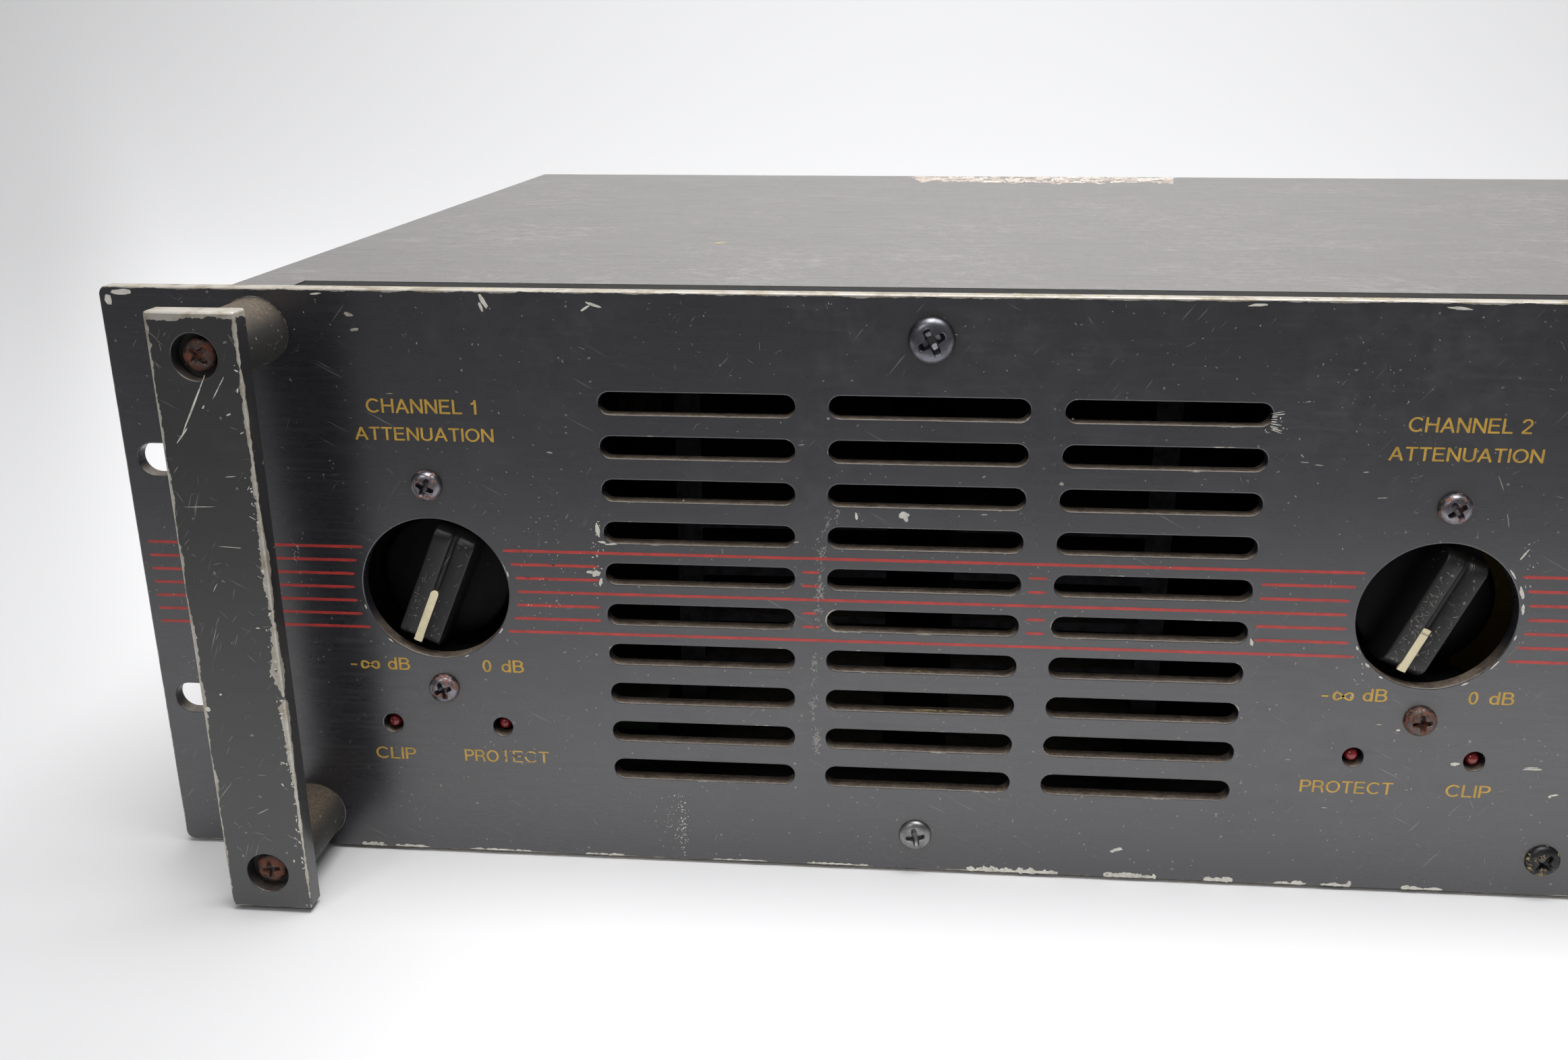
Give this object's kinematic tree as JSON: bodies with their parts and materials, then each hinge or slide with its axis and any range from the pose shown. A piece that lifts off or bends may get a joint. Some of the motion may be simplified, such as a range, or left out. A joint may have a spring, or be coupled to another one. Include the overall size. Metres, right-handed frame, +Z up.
{
  "type": "power amplifier",
  "caption": "Rack-mount two-channel power amplifier with vented front panel, recessed level knobs, grab handles, rear fan and finned heatsinks in a steel case.",
  "frame": {"origin": "centre of the bounding box's base, on the surface the case stands on", "axes": "+X to the right seen from the front, +Y from the front panel to the rear, +Z up; the front faces -Y"},
  "size_m": [0.4826, 0.3156, 0.1333],
  "materials": {
    "charcoal_paint": "dark charcoal satin paint, chipped to bare metal along the edges",
    "cover_paint": "dark grey semi-gloss paint",
    "zinc_sheet": "zinc-plated sheet",
    "screw_steel": "plated steel with rust",
    "black_plastic": "matte black",
    "red_lens": "dark red lens, unlit",
    "heatsink_alloy": "plain extrusion",
    "circuit_board": "green laminate",
    "capacitor_sleeve": "blue shrink sleeve",
    "transformer_winding": "steel core and copper winding wrapped in yellow tape",
    "nickel_brass": "nickel-plated brass"
  },
  "bodies": {
    "chassis": {"front_panel": "charcoal_paint", "front_frame": "zinc_sheet", "bottom_tray": "cover_paint", "top_cover": "cover_paint", "rear_plate": "cover_paint", "handle_bar_left": "charcoal_paint", "handle_post_left_lower": "charcoal_paint", "handle_screw_left_lower": "screw_steel", "strap_screw_left_lower": "screw_steel", "handle_post_left_upper": "charcoal_paint", "handle_screw_left_upper": "screw_steel", "strap_screw_left_upper": "screw_steel", "knob_strap_left": "zinc_sheet", "attenuator_left": "zinc_sheet", "lamp_left_knob_left": "red_lens", "lamp_left_knob_right": "red_lens", "heatsink_left": "heatsink_alloy", "cover_screw_left_front": "screw_steel", "cover_screw_left_rear": "screw_steel", "handle_bar_right": "charcoal_paint", "handle_post_right_lower": "charcoal_paint", "handle_screw_right_lower": "screw_steel", "strap_screw_right_lower": "screw_steel", "handle_post_right_upper": "charcoal_paint", "handle_screw_right_upper": "screw_steel", "strap_screw_right_upper": "screw_steel", "knob_strap_right": "zinc_sheet", "attenuator_right": "zinc_sheet", "lamp_right_knob_left": "red_lens", "lamp_right_knob_right": "red_lens", "heatsink_right": "heatsink_alloy", "cover_screw_right_front": "screw_steel", "cover_screw_right_rear": "screw_steel", "panel_screw_top_middle": "screw_steel", "panel_screw_bottom_middle": "screw_steel", "panel_screw_top_right": "screw_steel", "panel_screw_bottom_right": "screw_steel", "switch_housing": "black_plastic", "fan_frame": "black_plastic", "fan_guard": "zinc_sheet", "transformer": "transformer_winding", "transformer_bolt": "screw_steel", "capacitor_1": "capacitor_sleeve", "capacitor_2": "capacitor_sleeve", "capacitor_3": "capacitor_sleeve", "supply_board": "circuit_board", "input_board": "circuit_board", "input_jack_1": "nickel_brass", "input_jack_2": "nickel_brass", "terminal_strip": "black_plastic", "mains_inlet": "black_plastic", "breaker_body": "black_plastic"},
    "knob_left_turn": {"knob_left": "black_plastic", "knob_shaft_left": "nickel_brass"},
    "knob_right_turn": {"knob_right": "black_plastic", "knob_shaft_right": "nickel_brass"},
    "power_rocker": {"switch_rocker": "black_plastic"},
    "fan_blades": {"fan_rotor": "black_plastic"},
    "breaker_reset": {"breaker_button": "black_plastic"}
  },
  "joints": [
    {"name": "attenuator_left_knob", "type": "hinge", "parent": "chassis", "child": "knob_left_turn", "pos_m": [-0.1745, -0.1188, 0.06705], "axis": [0, 1, 0], "range_deg": [0, 300]},
    {"name": "attenuator_right_knob", "type": "hinge", "parent": "chassis", "child": "knob_right_turn", "pos_m": [0.0399, -0.1188, 0.06705], "axis": [0, 1, 0], "range_deg": [0, 300]},
    {"name": "power_switch_tip", "type": "hinge", "parent": "chassis", "child": "power_rocker", "pos_m": [0.14, -0.1277, 0.06705], "axis": [-1, 0, 0], "range_deg": [0, 20]},
    {"name": "fan_spin", "type": "hinge", "parent": "chassis", "child": "fan_blades", "pos_m": [-0.0673, 0.1312, 0.06705], "axis": [0, 1, 0], "continuous": true},
    {"name": "breaker_press", "type": "slide", "parent": "chassis", "child": "breaker_reset", "axis": [0, -1, 0], "range_m": [0, 0.003], "stiffness_N_per_m": 1500}
  ]
}
